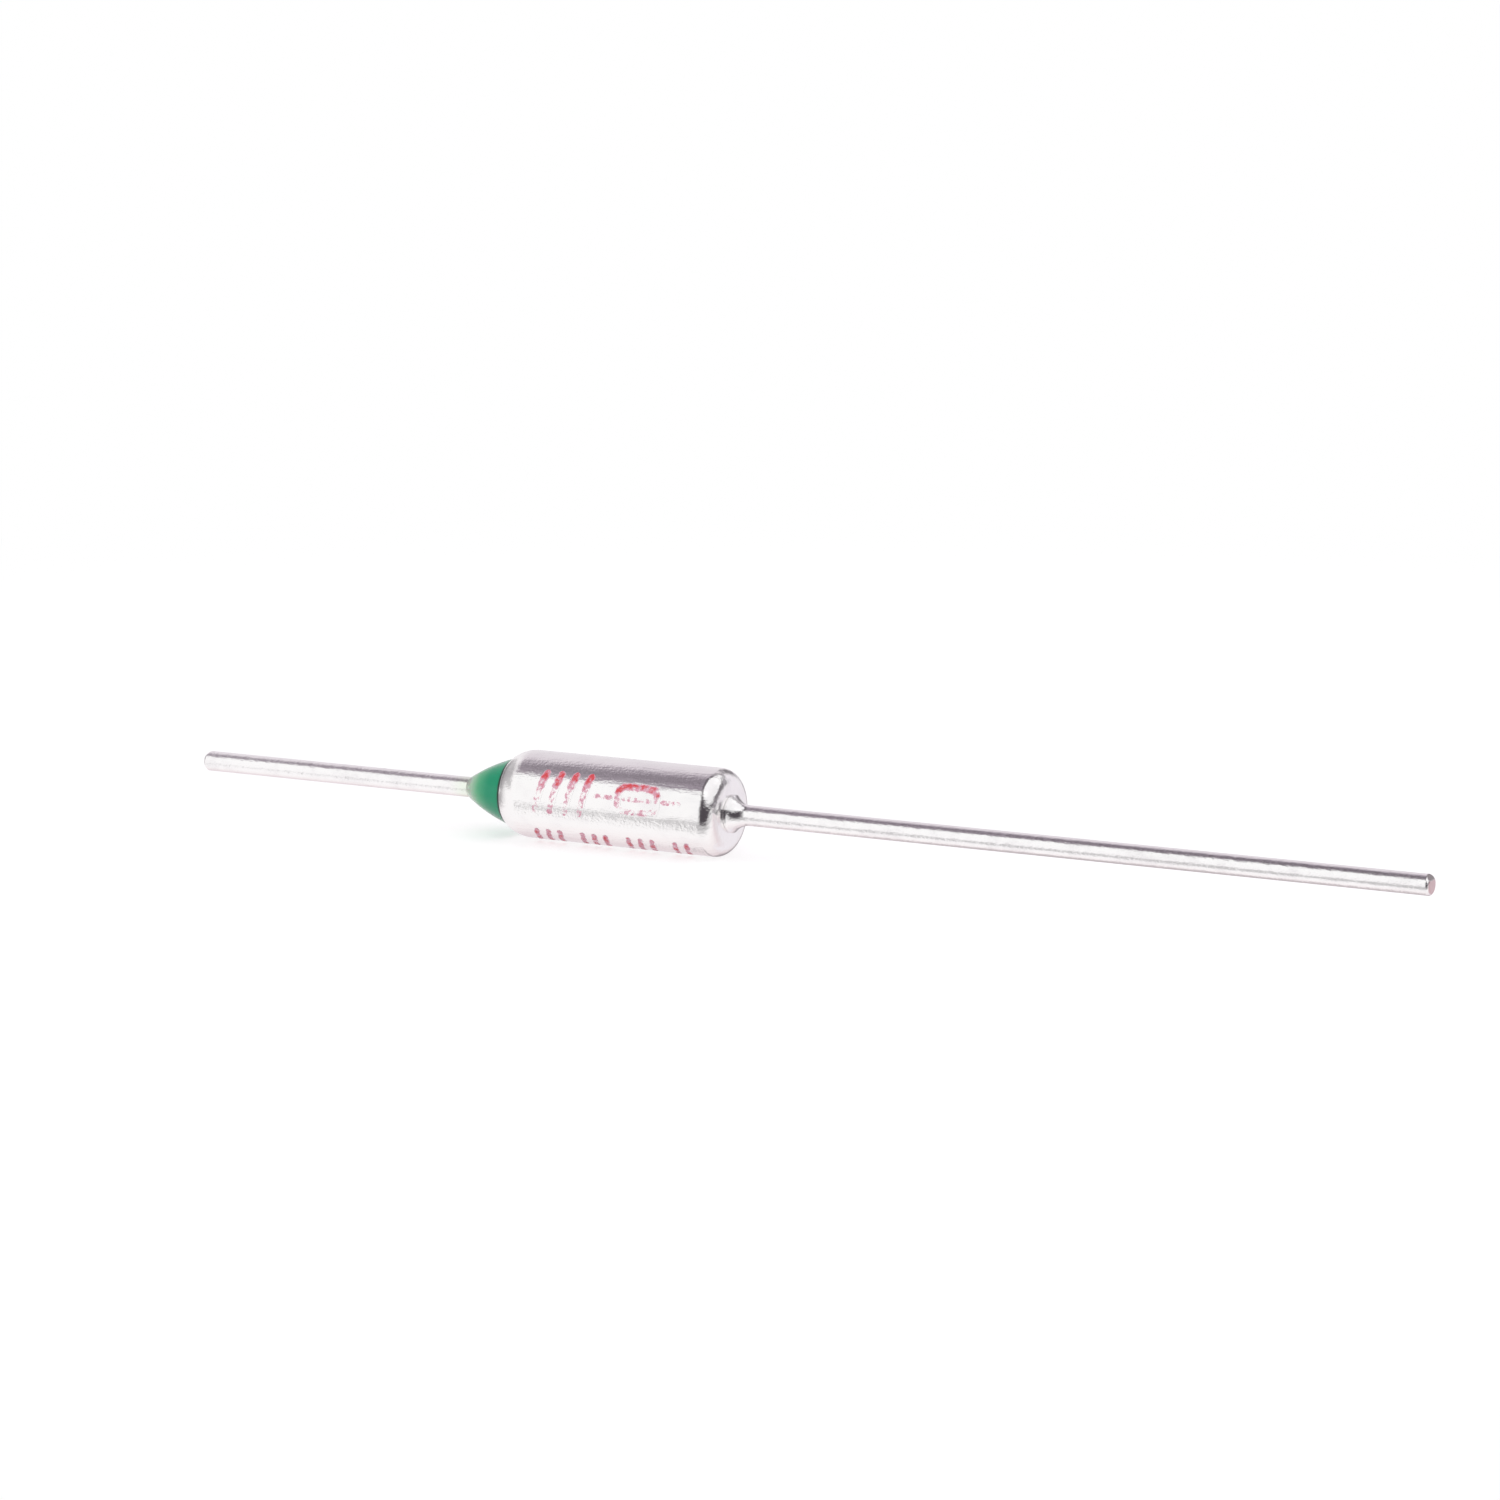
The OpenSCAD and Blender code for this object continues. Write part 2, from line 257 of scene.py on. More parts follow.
def turned(profile, sides, closed):
    """Turns a profile about the X axis: (x, r) goes to (x, r cos a, r sin a) at even steps of a.

    A closed profile makes a ring. An open one starts and ends on the axis, at two poles.
    """
    angle = np.linspace(0, TURN, sides, endpoint=False)
    x, r = profile.T if closed else profile[1:-1].T
    rings = np.empty((len(x), sides, 3))
    rings[:, :, 0] = x[:, None]
    rings[:, :, 1] = np.outer(r, np.cos(angle))
    rings[:, :, 2] = np.outer(r, np.sin(angle))
    index = np.arange(len(x) * sides).reshape(len(x), sides)
    following = np.roll(index, -1, axis=1)
    if closed:
        last, first = index, np.roll(index, -1, axis=0)
        last_next, first_next = following, np.roll(following, -1, axis=0)
    else:
        last, first = index[:-1], index[1:]
        last_next, first_next = following[:-1], following[1:]
    quads = np.stack([last, first, first_next, last_next], axis=-1).reshape(-1, 4)
    vertices = rings.reshape(-1, 3)
    if closed:
        return vertices, quads.tolist()
    poles = np.array([[profile[0, 0], 0, 0], [profile[-1, 0], 0, 0]])
    start, end = len(vertices), len(vertices) + 1
    fans = [np.stack([np.full(sides, start), index[0], following[0]], axis=-1)]
    fans.append(np.stack([np.full(sides, end), following[-1], index[-1]], axis=-1))
    return np.vstack([vertices, poles]), quads.tolist() + np.vstack(fans).tolist()


def swept(path, radius, sides):
    """Carries a circle along a path: each ring lies across the path, in its normal plane.

    The axis X is used to hold the rings upright. Both ends are closed by one flat face.
    """
    tangent = np.gradient(path, axis=0)
    tangent /= np.linalg.norm(tangent, axis=1)[:, None]
    side = np.cross(tangent, (1.0, 0.0, 0.0))
    side /= np.linalg.norm(side, axis=1)[:, None]
    over = np.cross(side, tangent)
    angle = np.linspace(0, TURN, sides, endpoint=False)
    offset = np.cos(angle)[None, :, None] * side[:, None] + np.sin(angle)[None, :, None] * over[:, None]
    vertices = (path[:, None] + radius * offset).reshape(-1, 3)
    index = np.arange(len(vertices)).reshape(-1, sides)
    following = np.roll(index, -1, axis=1)
    quads = np.stack([index[:-1], index[1:], following[1:], following[:-1]], axis=-1).reshape(-1, 4)
    return vertices, quads.tolist() + [index[0].tolist(), index[-1][::-1].tolist()]


def ribbon(path, half_width, across, film, closed):
    """Carries a thin strip along a flat path: its skin and its underside form one ring across the path.

    The columns are the place along and around the case, the height above the plate, and the share
    of the way in from the strip's edge to its middle.
    """
    points = np.vstack([path[-1:], path, path[:1]]) if closed else path
    tangent = np.gradient(points, axis=0)
    tangent = tangent[1:-1] if closed else tangent
    tangent /= np.linalg.norm(tangent, axis=1)[:, None]
    sideways = np.column_stack([-tangent[:, 1], tangent[:, 0]]) * half_width[:, None]
    skin = np.linspace(-1, 1, across)
    share = np.concatenate([skin, skin[::-1]])
    height = np.repeat([film, 0.0], across)
    grid = path[:, None] + share[None, :, None] * sideways[:, None]
    rest = np.broadcast_to(np.column_stack([height, 1 - np.abs(share)]), (len(path), 2 * across, 2))
    index = np.arange(len(path) * 2 * across).reshape(len(path), 2 * across)
    after = np.roll(index, -1, axis=0) if closed else index[1:]
    before = index if closed else index[:-1]
    quads = np.stack([before, after, np.roll(after, -1, axis=1), np.roll(before, -1, axis=1)], axis=-1)
    caps = [] if closed else [index[0].tolist(), index[-1][::-1].tolist()]
    return np.dstack([grid, rest]).reshape(-1, 4), quads.reshape(-1, 4).tolist() + caps


def volume_of(vertices, faces):
    """Volume inside the faces, which is below zero where they point inwards."""
    total = 0.0
    for size in {len(face) for face in faces}:
        same = vertices[np.array([face for face in faces if len(face) == size])]
        for k in range(1, size - 1):
            total += np.einsum("ij,ij->", same[:, 0], np.cross(same[:, k], same[:, k + 1]))
    return total / 6


def new_piece(name, vertices, faces, material, replaced=(), crease=radians(35)):
    """Makes a piece that rides on the fuse, with its faces outwards and its sharp edges kept."""
    if volume_of(vertices, faces) < 0:
        faces = [face[::-1] for face in faces]
    mesh = bpy.data.meshes.new(name)
    mesh.from_pydata(vertices, [], faces)
    mesh.polygons.foreach_set("use_smooth", np.ones(len(faces), bool))
    mesh.set_sharp_from_angle(angle=crease)
    mesh.materials.append(material)
    piece = bpy.data.objects.new(name, mesh)
    bpy.context.scene.collection.objects.link(piece)
    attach(piece, "root")
    if replaced:
        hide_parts(*replaced)
    return piece


def mark_points(piece, name, values):
    """Stores one number for each point of a piece, for its material to read."""
    attribute = piece.data.attributes.new(name, "FLOAT", "POINT")
    attribute.data.foreach_set("value", np.asarray(values, np.float32))


def roll_of(case):
    """Centre of the rim's roll in the (x, r) half plane, and the angle at which the roll ends."""
    centre = np.array([
        case.rim_x + case.roll_radius * math.sin(case.roll_angle),
        case.radius - case.roll_radius,
    ])
    return centre, math.pi / 2 + case.roll_angle


def on_roll(case, depth):
    """The point of the rim's cut face at a depth below its outer edge."""
    centre, end = roll_of(case)
    return centre + (case.roll_radius - depth) * np.array([math.cos(end), math.sin(end)])


def case_profile(case, wire_radius):
    """The drawn cup's wall as one closed loop: out along its skin, and back along its bore."""
    centre, end = roll_of(case)
    floor_x = case.end_x - case.floor
    bore = case.radius - case.wall
    seat = case.radius - case.seat_wall
    outer_edge = on_roll(case, 0)
    inner_edge = on_roll(case, case.seat_wall)
    trim = case.edge / case.roll_radius
    skin = arc(centre, case.roll_radius, end - trim, math.pi / 2, steps=48)
    lining = arc(centre, case.roll_radius - case.seat_wall, math.pi / 2, end - trim, steps=32)
    end_hole = (case.end_x, wire_radius)
    floor_hole = (floor_x, wire_radius)
    shoulder_corner = (case.end_x, case.radius)
    floor_corner = (floor_x, bore)
    ledge = (case.ledge_x, bore)
    return np.vstack([
        rounded_corner(inner_edge, outer_edge, skin[0], case.edge),
        skin,
        rounded_corner(skin[-1], shoulder_corner, end_hole, case.shoulder, steps=28),
        [end_hole, floor_hole],
        rounded_corner(floor_hole, floor_corner, ledge, case.floor_fillet, steps=12),
        [ledge, (case.ledge_x, seat)],
        lining,
        rounded_corner(lining[-1], inner_edge, outer_edge, case.edge),
    ])


def tip_profile(tip_x, inwards, lead):
    """Half of a beveled wire tip: even rings over the cut face, a round bevel, even rings on the skin."""
    face_rings, skin_rings = 10, 16
    face_r = lead.radius - lead.bevel
    skin_x = tip_x + inwards * lead.bevel
    far_x = tip_x + inwards * lead.foot_length
    axis, corner = (tip_x, 0.0), (tip_x, face_r)
    shoulder, far = (skin_x, lead.radius), (far_x, lead.radius)
    inner = rounded_corner(axis, corner, shoulder, lead.tip_edge)
    outer = rounded_corner(corner, shoulder, far, lead.tip_edge)
    face = np.linspace(axis, inner[0], face_rings)[:-1]
    skin = np.linspace(outer[-1], far, skin_rings)[1:]
    return np.vstack([face, inner, outer, skin])


def sheared(vertices, tip_x, inwards, lead):
    """Leans the upper part of a wire tip back, as a cutter does, and tells how smeared each point is.

    Points beyond the plane x = tip + lean (z - start) slide along the wire back to that plane.
    """
    plane_x = tip_x + inwards * lead.shear_lean * (vertices[:, 2] - lead.shear_start)
    beyond = np.clip((plane_x - vertices[:, 0]) * inwards, 0, None)
    moved = vertices.copy()
    moved[:, 0] += inwards * beyond
    return moved, np.clip(beyond / lead.edge, 0, 1)


def case_lead_profile(lead, case):
    """Rivet head, the wire through the closed end, the flared foot and the long wire up to its tip."""
    floor_x = case.end_x - case.floor
    height = lead.foot_radius - lead.radius
    flank = lead.foot_length - lead.collar
    flank_radius = (height * height + flank * flank) / (2 * height)
    sweep = math.asin(flank / flank_radius)
    centre = (case.end_x + lead.foot_length, lead.radius + flank_radius)
    flare = arc(centre, flank_radius, -math.pi / 2 - sweep, -math.pi / 2, steps=24)
    foot_corner = (case.end_x, lead.foot_radius)
    collar_corner = (case.end_x + lead.collar, lead.foot_radius)
    rivet_top = (floor_x, lead.rivet_radius)
    rivet_end = (lead.rivet_x, lead.rivet_radius)
    return np.vstack([
        [(lead.rivet_x, 0)],
        rounded_corner((lead.rivet_x, 0), rivet_end, rivet_top, lead.edge),
        rounded_corner(rivet_end, rivet_top, (floor_x, lead.radius), lead.edge),
        [(floor_x, lead.radius), (case.end_x, lead.radius)],
        rounded_corner((case.end_x, lead.radius), foot_corner, collar_corner, lead.edge),
        rounded_corner(foot_corner, collar_corner, flare[1], lead.edge),
        flare[2:],
        tip_profile(lead.case_tip_x, -1, lead)[::-1],
    ])


def insulated_lead_profile(lead):
    """The short wire from its cut tip up to the contact head inside the case."""
    root = (lead.head_x, lead.radius)
    head_back = (lead.head_x, lead.head_radius)
    head_front = (lead.star_x, lead.head_radius)
    return np.vstack([
        tip_profile(lead.insulated_tip_x, 1, lead),
        [root],
        rounded_corner(root, head_back, head_front, lead.edge),
        rounded_corner(head_back, head_front, (lead.star_x, 0), lead.edge),
        [(lead.star_x, 0)],
    ])


def resin_profile(resin, case, wire_radius):
    """The cone's flank is one shallow arc from the wire up to the rim. The root fills the roll."""
    centre, _ = roll_of(case)
    lining_radius = case.roll_radius - case.seat_wall
    base_r = on_roll(case, 0)[1] - resin.inset
    base = np.array([case.rim_x, base_r])
    tip = np.array([resin.tip_x, wire_radius])
    chord = base - tip
    half = np.linalg.norm(chord) / 2
    flank_radius = (half * half + resin.swell * resin.swell) / (2 * resin.swell)
    outward = np.array([-chord[1], chord[0]]) / (2 * half)
    middle = (tip + base) / 2 - outward * (flank_radius - resin.swell)
    start = math.atan2(*(tip - middle)[::-1])
    end = math.atan2(*(base - middle)[::-1])
    inner_edge = on_roll(case, case.seat_wall)
    lining_start = math.atan2(*(inner_edge - centre)[::-1])
    lining_end = math.acos((resin.root_x - centre[0]) / lining_radius)
    return np.vstack([
        arc(middle, flank_radius, start, end, steps=60),
        on_roll(case, resin.inset / math.cos(case.roll_angle)),
        arc(centre, lining_radius, lining_start, lining_end, steps=16),
        [(resin.root_x, wire_radius)],
    ])


def coil_path(low_x, high_x, wire, turns, end_radius, middle_radius, stack):
    """A spring's centre line: close turns at both ends, open ones between, swelling to its middle."""
    t = np.linspace(0, turns, int(turns * SPRING_STEPS) + 1)
    close = wire + stack.turn_gap
    open_turns = turns - 2 * stack.closed_turns
    span = high_x - low_x - wire
    pitch = (span - 2 * stack.closed_turns * close) / open_turns
    rise = np.interp(
        t,
        [0, stack.closed_turns, turns - stack.closed_turns, turns],
        [0, stack.closed_turns * close, stack.closed_turns * close + open_turns * pitch, span],
    )
    radius = end_radius + (middle_radius - end_radius) * np.sin(math.pi * t / turns)
    angle = TURN * t
    return np.column_stack([low_x + wire / 2 + rise, radius * np.sin(angle), radius * np.cos(angle)])


# Shader tools


def feed(tree, node, inputs):
    """Sets each named input of a node, or links it where the value is another node's socket."""
    for key, value in inputs.items():
        if isinstance(value, bpy.types.NodeSocket):
            tree.links.new(value, node.inputs[key])
        else:
            node.inputs[key].default_value = value


def add(tree, kind, inputs=None, **settings):
    """Adds a node, sets its options and feeds its inputs."""
    made = tree.nodes.new(kind)
    for key, value in settings.items():
        setattr(made, key, value)
    feed(tree, made, inputs or {})
    return made


def math_node(tree, operation, *values):
    """A Math node's result."""
    return add(tree, "ShaderNodeMath", dict(enumerate(values)), operation=operation).outputs[0]


def chain(tree, operation, *values):
    """The result of one Math operation over any number of values, two at a time."""
    return functools.reduce(functools.partial(math_node, tree, operation), values)


def ramp(tree, value, low, high, from_value=0.0, to_value=1.0):
    """A smooth step of a value from one level to another."""
    inputs = {"Value": value, 1: low, 2: high, 3: from_value, 4: to_value}
    return add(tree, "ShaderNodeMapRange", inputs, interpolation_type="SMOOTHSTEP").outputs[0]


def between(tree, value, low, high, soft):
    """A smooth mask that is one from a low to a high value and falls off over a soft edge outside them."""
    rise = ramp(tree, value, low - soft, low)
    return math_node(tree, "MULTIPLY", rise, ramp(tree, value, high, high + soft, 1.0, 0.0))


def blend(tree, share, first, second):
    """A mix of two colours, which are sockets 6 and 7 of a Mix node."""
    return add(tree, "ShaderNodeMix", {0: share, 6: first, 7: second}, data_type="RGBA").outputs[2]


def noise(tree, vector, scale, detail, roughness):
    """Smooth noise about one half."""
    inputs = {"Vector": vector, "Scale": scale, "Detail": detail, "Roughness": roughness}
    return add(tree, "ShaderNodeTexNoise", inputs).outputs["Fac"]


def bumped(tree, height, depth):
    """The normals of a surface that is raised by a height times a depth in metres."""
    return add(tree, "ShaderNodeBump", {"Height": height, "Strength": 1.0, "Distance": depth}).outputs[0]


def point_value(tree, name):
    """A value that the mesh keeps at its points."""
    return add(tree, "ShaderNodeAttribute", attribute_name=name).outputs["Fac"]


def parts(tree, vector):
    """The X, Y and Z of a vector."""
    return add(tree, "ShaderNodeSeparateXYZ", {0: vector}).outputs


def fed_by(shader, socket):
    """The socket that feeds a shader's input."""
    return shader.inputs[socket].links[0].from_socket


def rgba(value):
    """A colour with full alpha."""
    return (*value, 1.0)


def empty_tree(owner):
    """The cleared node tree of a material or a world."""
    owner.use_nodes = True
    owner.node_tree.nodes.clear()
    return owner.node_tree


def new_group(name, sockets_in, sockets_out):
    """A node group with named float or vector sockets, and its two end nodes."""
    group = bpy.data.node_groups.new(name, "ShaderNodeTree")
    for socket_name, kind in sockets_in.items():
        group.interface.new_socket(name=socket_name, in_out="INPUT", socket_type=kind)
    for socket_name, kind in sockets_out.items():
        group.interface.new_socket(name=socket_name, in_out="OUTPUT", socket_type=kind)
    return group, group.nodes.new("NodeGroupInput").outputs, group.nodes.new("NodeGroupOutput").inputs


def new_material(name):
    """An empty material: its tree, its Principled shader and its Object coordinates."""
    material = bpy.data.materials.new(name)
    tree = empty_tree(material)
    shader = tree.nodes.new("ShaderNodeBsdfPrincipled")
    add(tree, "ShaderNodeOutputMaterial", {"Surface": shader.outputs[0]})
    vector = tree.nodes.new("ShaderNodeTexCoord").outputs["Object"]
    return material, tree, shader, vector


# Materials

GRAIN_SCALES = ("Streak Scale", "Streak Length", "Pit Scale")


def drawn_metal_group():
    """Grain of drawn metal: streaks along the fuse's axis, fine pits, and broad dull patches."""
    name = "Drawn Metal"
    if name in bpy.data.node_groups:
        return bpy.data.node_groups[name]
    group, source, sink = new_group(
        name,
        {"Vector": "NodeSocketVector", **dict.fromkeys(GRAIN_SCALES, "NodeSocketFloat")},
        dict.fromkeys(("Height", "Dull"), "NodeSocketFloat"),
    )
    pit_share = 0.3
    patch_share = 0.12
    dull_from, dull_full = 0.42, 0.70
    squeeze = math_node(group, "DIVIDE", 1.0, source["Streak Length"])
    squeeze = add(group, "ShaderNodeCombineXYZ", {"X": squeeze, "Y": 1.0, "Z": 1.0}).outputs[0]
    along = add(group, "ShaderNodeVectorMath", {0: source["Vector"], 1: squeeze}, operation="MULTIPLY")
    streaks = noise(group, along.outputs[0], source["Streak Scale"], detail=4.0, roughness=0.6)
    pits = noise(group, source["Vector"], source["Pit Scale"], detail=2.0, roughness=0.5)
    patch_scale = math_node(group, "MULTIPLY", source["Streak Scale"], patch_share)
    patches = noise(group, source["Vector"], patch_scale, detail=3.0, roughness=0.6)
    height = math_node(group, "MULTIPLY_ADD", pits, pit_share, streaks)
    dull = math_node(group, "MULTIPLY", ramp(group, patches, dull_from, dull_full), streaks)
    group.links.new(height, sink["Height"])
    group.links.new(dull, sink["Dull"])
    return group


def drawn_metal(name, bright, dull, gloss, streaks, relief):
    """Plated or drawn metal: a mirror finish with streaks along the axis and duller patches.

    gloss is the least and the most roughness, streaks the grain's scale, length and pit scale,
    and relief the depth of the grain in metres.
    """
    material, tree, shader, vector = new_material(name)
    dullest = 0.6
    inputs = {"Vector": vector, **dict(zip(GRAIN_SCALES, streaks))}
    grain = add(tree, "ShaderNodeGroup", inputs, node_tree=drawn_metal_group())
    dullness = grain.outputs["Dull"]
    feed(tree, shader, {
        "Base Color": blend(tree, dullness, rgba(bright), rgba(dull)),
        "Roughness": ramp(tree, dullness, 0.0, dullest, *gloss),
        "Normal": bumped(tree, grain.outputs["Height"], relief),
        "Metallic": 1.0,
    })
    return material, tree, shader, vector


def lead_material(lead, resin):
    """Tinned wire, with bare copper and smeared tin on its cut tips, and a thin green film by the resin."""
    film_run, film_end = 1.1 * MM, 1.0 * MM
    film_share = 0.75
    cut_roughness = 0.22
    material, tree, shader, vector = drawn_metal("tinned_wire", lead.tin, lead.dull_tin, **WIRE_GRAIN)
    bare = point_value(tree, "copper")
    smear = point_value(tree, "smear")
    along = parts(tree, vector)["X"]
    film = ramp(tree, along, resin.tip_x - film_run, resin.tip_x, 0.0, film_share)
    under_resin = ramp(tree, along, resin.tip_x, resin.tip_x + film_end, 1.0, 0.0)
    film = math_node(tree, "MULTIPLY", film, under_resin)
    tint = blend(tree, film, fed_by(shader, "Base Color"), rgba(resin.thin))
    tint = blend(tree, bare, tint, rgba(lead.copper))
    cut = math_node(tree, "MAXIMUM", bare, smear)
    feed(tree, shader, {
        "Base Color": blend(tree, smear, tint, rgba(lead.smear)),
        "Roughness": math_node(tree, "MULTIPLY_ADD", cut, cut_roughness, fed_by(shader, "Roughness")),
    })
    return material


def resin_material(resin, case):
    """Cast resin: deep green where it is thick, yellower where painted light shines through the thin
    resin, and then pale where the wire shows through.

    A painted shade line runs along the rim, where the resin meets it. The lit and thin stations are
    shares of the cone's length, from its tip.
    """
    cloud_scale, skin_scale = 1400.0, 2600.0
    drift = 0.12
    lit_from, lit_end = 0.22, 0.72
    thin_from, thin_end = -0.05, 0.44
    rim_shade_from, rim_shade_full = 0.19 * MM, 0.08 * MM
    shine_from, wire_shine = 0.5, 0.85
    skin_low, skin_high, skin_depth = 0.3, 0.8, 3 * MICRON
    gloss = (0.14, 0.24)
    material, tree, shader, vector = new_material("green_resin")
    tip_x, run = resin.tip_x, case.rim_x - resin.tip_x
    along = parts(tree, vector)["X"]
    cloud = noise(tree, vector, cloud_scale, detail=3.0, roughness=0.5)
    cloud = math_node(tree, "SUBTRACT", cloud, 0.5)
    wander = math_node(tree, "MULTIPLY_ADD", cloud, drift * run, along)
    # Painted light: the resin turns lighter and yellower towards the tip, for light shining through the
    # thin resin
    lit = ramp(tree, wander, tip_x + lit_from * run, tip_x + lit_end * run, 1.0, 0.0)
    thin = ramp(tree, wander, tip_x + thin_from * run, tip_x + thin_end * run, 1.0, 0.0)
    # Painted shade: the resin darkens to a line along the rim, where resin and rim meet
    seam = ramp(tree, along, case.rim_x - rim_shade_from, case.rim_x - rim_shade_full)
    tint = blend(tree, lit, rgba(resin.body), rgba(resin.lit))
    tint = blend(tree, thin, tint, rgba(resin.thin))
    skin = noise(tree, vector, skin_scale, detail=3.0, roughness=0.5)
    feed(tree, shader, {
        "Base Color": blend(tree, seam, tint, rgba(resin.seam)),
        "Metallic": ramp(tree, thin, shine_from, 1.0, 0.0, wire_shine),
        "Roughness": ramp(tree, skin, skin_low, skin_high, *gloss),
        "Normal": bumped(tree, skin, skin_depth),
        "Subsurface Weight": 0.25,
        "Subsurface Radius": (0.25, 1.0, 0.55),
        "Subsurface Scale": 0.35 * MM,
        "IOR": 1.55,
        "Specular IOR Level": 0.28,
        "Sheen Weight": 1.0,
        "Sheen Roughness": 0.32,
    })
    return material


def ink_material(print_settings, case):
    """Stamped ink: broken cover, so that the plate shows through where the stamp didn't press.

    Noise breaks the cover. The ink is heavier in the lower row and lighter at the edges of a stroke.
    High on the case, where the plate mirrors a dark band, it is heavier: partly a harder press and
    partly painted shade. Across the front it is thinned where the plate's highlight falls, a painted
    highlight that washes the ink out.
    """
    patch_scale = 3600.0
    # High on the case the ink is heavier where the plate mirrors a dark band: partly a harder press, partly
    # painted shade
    dark_band_from, dark_band_full, dark_band_gain = 0.6 * MM, 1.35 * MM, (0.015, 0.17)
    low_full, low_end, low_gain = -1.5 * MM, -0.9 * MM, 0.10
    # Across the front the ink is thinned where the plate's highlight falls: a painted highlight
    glare_from, glare_end, glare_soft, glare_loss = -0.15 * MM, 0.55 * MM, 0.4 * MM, -0.07
    edge_end, edge_loss = 0.5, -0.20
    cover_from, cover_full, most_cover = 0.40, 0.54, 0.94
    dense_from, dense_full, low_density = 0.55, 0.74, 0.7
    ink_roughness = 0.38
    material, tree, shader, vector = drawn_metal("red_ink", case.plating, case.tarnish, **PLATE_GRAIN)
    height = parts(tree, vector)["Z"]
    # Heavier ink high on the case: partly a harder press, partly painted shade where the plate mirrors a
    # dark band
    heavier_in_dark_band = ramp(tree, height, dark_band_from, dark_band_full, *dark_band_gain)
    lower = ramp(tree, height, low_full, low_end, low_gain, 0.0)
    # Painted highlight: less ink across the front, where the plate's glare would wash it out
    glare = between(tree, height, glare_from, glare_end, glare_soft)
    glare = math_node(tree, "MULTIPLY", glare, glare_loss)
    edges = ramp(tree, point_value(tree, "press"), 0.0, edge_end, edge_loss, 0.0)
    patches = noise(tree, vector, patch_scale, detail=5.0, roughness=0.65)
    patches = chain(tree, "ADD", patches, heavier_in_dark_band, glare, edges)
    cover = ramp(tree, math_node(tree, "ADD", patches, lower), cover_from, cover_full, 0.0, most_cover)
    dense = math_node(tree, "MULTIPLY_ADD", lower, low_density, patches)
    density = ramp(tree, dense, dense_from, dense_full)
    ink = blend(tree, density, rgba(print_settings.thin_ink), rgba(print_settings.ink))
    matte = math_node(tree, "MULTIPLY", cover, ink_roughness)
    feed(tree, shader, {
        "Base Color": blend(tree, cover, fed_by(shader, "Base Color"), ink),
        "Metallic": math_node(tree, "SUBTRACT", 1.0, cover),
        "Roughness": math_node(tree, "MAXIMUM", fed_by(shader, "Roughness"), matte),
    })
    return material


def powder_material(name, base, speck, scale, roughness):
    """Pressed or fired powder: fine specks on a matte ground."""
    speck_from, speck_full = 0.45, 0.75
    grain_low, grain_high, grain_depth = 0.2, 0.8, 4 * MICRON
    uneven = 0.15
    material, tree, shader, vector = new_material(name)
    grains = noise(tree, vector, scale, detail=4.0, roughness=0.65)
    feed(tree, shader, {
        "Base Color": blend(tree, ramp(tree, grains, speck_from, speck_full), rgba(base), rgba(speck)),
        "Roughness": ramp(tree, grains, grain_low, grain_high, roughness, roughness + uneven),
        "Normal": bumped(tree, grains, grain_depth),
    })
    return material


# Operators


class FUSE_OT_case(bpy.types.Operator):
    """Turns the drawn case with its shoulder, bore, seat and rolled rim"""

    bl_idname = "fuse.case"
    bl_label = "Case"

    def execute(self, context):
        case = context.scene.fuse_case
        profile = case_profile(case, context.scene.fuse_leads.radius)
        material, *_ = drawn_metal("silver_plate", case.plating, case.tarnish, **PLATE_GRAIN)
        vertices, faces = turned(profile, CASE_SIDES, closed=True)
        new_piece("plated_case", vertices, faces, material, ["case"])
        return {"FINISHED"}


class FUSE_OT_leads(bpy.types.Operator):
    """Turns both wire leads, with their cut tips, the staked foot and the contact head"""

    bl_idname = "fuse.leads"
    bl_label = "Leads"

    def execute(self, context):
        lead = context.scene.fuse_leads
        case = context.scene.fuse_case
        copper_reach = 1.4
        material = lead_material(lead, context.scene.fuse_resin)
        wires = (
            ("long_lead", case_lead_profile(lead, case), "case_lead", lead.case_tip_x, -1),
            ("short_lead", insulated_lead_profile(lead), "insulated_lead", lead.insulated_tip_x, 1),
        )
        for name, profile, node, tip_x, inwards in wires:
            vertices, faces = turned(profile, WIRE_SIDES, closed=False)
            vertices, smear = sheared(vertices, tip_x, inwards, lead)
            piece = new_piece(name, vertices, faces, material, [node])
            depth = np.abs(vertices[:, 0] - tip_x) / lead.edge
            mark_points(piece, "copper", (1 - smear) * np.clip(copper_reach - depth, 0, 1))
            mark_points(piece, "smear", smear)
        return {"FINISHED"}


class FUSE_OT_resin(bpy.types.Operator):
    """Turns the resin seal, a cone outside the rim and a plug inside it"""

    bl_idname = "fuse.resin"
    bl_label = "Resin seal"

    def execute(self, context):
        resin = context.scene.fuse_resin
        case = context.scene.fuse_case
        profile = resin_profile(resin, case, context.scene.fuse_leads.radius)
        vertices, faces = turned(profile, RESIN_SIDES, closed=True)
        new_piece("resin_cone", vertices, faces, resin_material(resin, case), ["resin_seal"])
        return {"FINISHED"}


def stadium(start, end, stroke, film, steps=24):
    """A straight stroke with round ends: its width falls off on a half circle at each end.

    The points crowd towards the ends, where a least share of the width stays.
    """
    least = 0.02
    start, end = np.asarray(start, float), np.asarray(end, float)
    share = (1 - np.cos(np.linspace(0, math.pi, steps))) / 2
    path = start + share[:, None] * (end - start)
    reach = np.linalg.norm(end - start)
    inside = np.minimum(share, 1 - share) * reach / (stroke / 2)
    width = np.sqrt(np.clip(1 - np.clip(1 - inside, 0, 1) ** 2, least, 1)) * stroke / 2
    return ribbon(path, width, STROKE_POINTS, film, closed=False)


